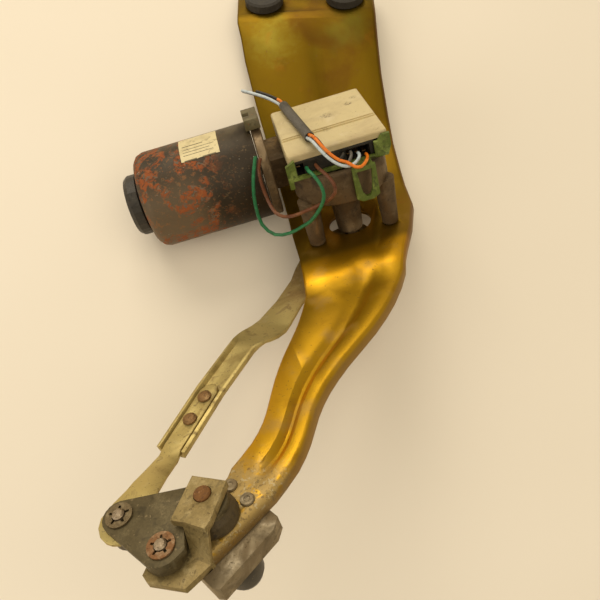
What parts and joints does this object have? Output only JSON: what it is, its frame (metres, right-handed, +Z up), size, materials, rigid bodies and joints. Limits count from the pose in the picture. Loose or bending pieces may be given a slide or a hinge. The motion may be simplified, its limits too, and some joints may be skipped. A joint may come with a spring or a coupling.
{
  "type": "windshield wiper drive assembly",
  "caption": "Wiper motor with worm gearbox, crank, connecting rod and pivot lever on one pressed bracket with rubber mounts.",
  "frame": {"origin": "centre of the bounding box in plan, at the level it rests on", "axes": "+Z up with the assembly lying on its crank socket, left grommet and motor can; +Y from the spindle end to the grommet flange; +X from the motor end cap to the gearbox"},
  "size_m": [0.2098, 0.3788, 0.1552],
  "materials": {
    "lamination": "laminated steel",
    "shaft_steel": "ground",
    "enamel_copper": "enamelled copper wire",
    "zinc_yellow": "yellow zinc plate, dulled",
    "zinc_pale": "pale zinc",
    "carbon": "carbon brush",
    "brush_board": "phenolic board",
    "block_dark": "moulded",
    "copper": "copper bars",
    "connector_black": "moulded",
    "crank_plated": "zinc plate, worn",
    "ball_steel": "ball stud",
    "socket_dark": "moulded socket",
    "end_cap_rubber": "matt",
    "sintered_bronze": "sintered",
    "cover_cream": "moulded, satin",
    "cast_dirty": "dirty die casting",
    "rubber_grommet": "matt black",
    "lead_brown_pvc": "flexible insulation",
    "lead_green_pvc": "flexible insulation",
    "pin_silver": "bright pin",
    "phosphate_dark": "dark phosphate",
    "washer_rust": "rusty spring steel",
    "ferrite": "sintered ferrite magnet",
    "can_rusty": "black paint with rust",
    "screw_steel": "zinc plated",
    "cast_grey": "rough die casting",
    "zinc_olive": "olive zinc plate",
    "rivet_bronze": "bronze coloured rivet",
    "seal_dark": "dark boot",
    "washer_steel": "spring steel",
    "sleeve_steel": "dull",
    "cap_dark": "dark",
    "carrier_green": "moulded",
    "rusty_steel": "rust brown steel",
    "wire_black_pvc": "flexible insulation",
    "wire_grey_pvc": "flexible insulation",
    "wire_orange_pvc": "flexible insulation",
    "sleeve_black": "woven sleeve",
    "wire_white_pvc": "flexible insulation",
    "wheel_nylon": "natural nylon"
  },
  "bodies": {
    "frame": {"bracket": "zinc_yellow", "brush_lower": "carbon", "brush_plate": "brush_board", "brush_terminal_block": "block_dark", "brush_upper": "carbon", "connector_block": "connector_black", "end_cap": "end_cap_rubber", "front_bearing": "sintered_bronze", "gearbox_cover": "cover_cream", "gearbox_housing": "cast_dirty", "grommet_left": "rubber_grommet", "grommet_right": "rubber_grommet", "lead_brown": "lead_brown_pvc", "lead_green": "lead_green_pvc", "magnet_lower": "ferrite", "magnet_upper": "ferrite", "motor_can": "can_rusty", "mount_screw_1": "screw_steel", "mount_screw_2": "screw_steel", "mount_screw_3": "screw_steel", "output_bush": "sintered_bronze", "pivot_housing": "cast_grey", "rear_bearing": "sintered_bronze", "sleeve_left": "sleeve_steel", "sleeve_right": "sleeve_steel", "spindle_bush_lower": "sintered_bronze", "spindle_bush_upper": "sintered_bronze", "terminal_carrier": "carrier_green", "thrust_screw": "screw_steel", "wire_black": "wire_black_pvc", "wire_grey": "wire_grey_pvc", "wire_orange": "wire_orange_pvc", "wire_sleeve": "sleeve_black", "wire_white": "wire_white_pvc"},
    "armature": {"armature_core": "lamination", "armature_shaft": "shaft_steel", "armature_windings": "enamel_copper", "commutator": "copper"},
    "crank": {"crank_arm": "crank_plated", "crank_nut": "shaft_steel", "crank_stub": "shaft_steel", "output_shaft": "shaft_steel", "worm_wheel": "wheel_nylon"},
    "lever": {"bridge_plate": "zinc_pale", "lever_pin": "pin_silver", "lever_plate": "phosphate_dark", "lever_star_washer": "washer_rust", "spindle_cap": "cap_dark", "spindle_seal": "seal_dark", "wiper_spindle": "rusty_steel"},
    "rod": {"crank_ball": "ball_steel", "crank_socket": "socket_dark", "rod_channel": "zinc_olive", "rod_pin": "pin_silver", "rod_rivet_1": "rivet_bronze", "rod_rivet_2": "rivet_bronze", "rod_seal_cup": "seal_dark", "rod_star_washer": "washer_steel", "rod_strip": "zinc_olive"}
  },
  "joints": [
    {"name": "armature_spin", "type": "hinge", "parent": "frame", "child": "armature", "pos_m": [0.0416, 0.04282, 0.04037], "axis": [-0.9922, -0.0807, -0.0945], "range_deg": [0, 6139.31]},
    {"name": "crank_turn", "type": "hinge", "parent": "frame", "child": "crank", "pos_m": [0.04657, -0.00349, 0.02772], "axis": [-0.1243, 0.6444, 0.7545], "range_deg": [-136.43, 0]},
    {"name": "spindle_sweep", "type": "hinge", "parent": "frame", "child": "lever", "pos_m": [-0.05702, -0.1497, 0.13553], "axis": [-0.1243, 0.6444, 0.7545], "range_deg": [-83.24, 0]},
    {"name": "rod_swing", "type": "hinge", "parent": "lever", "child": "rod", "pos_m": [-0.09383, -0.14867, 0.12858], "axis": [-0.1243, 0.6444, 0.7545], "range_deg": [0, 81.19]}
  ],
  "couplings": [
    {"joint": "crank_turn", "follows": "armature_spin", "ratio": -0.022222},
    {"joint": "spindle_sweep", "follows": "armature_spin", "ratio": -0.013557},
    {"joint": "rod_swing", "follows": "armature_spin", "ratio": 0.013224}
  ]
}
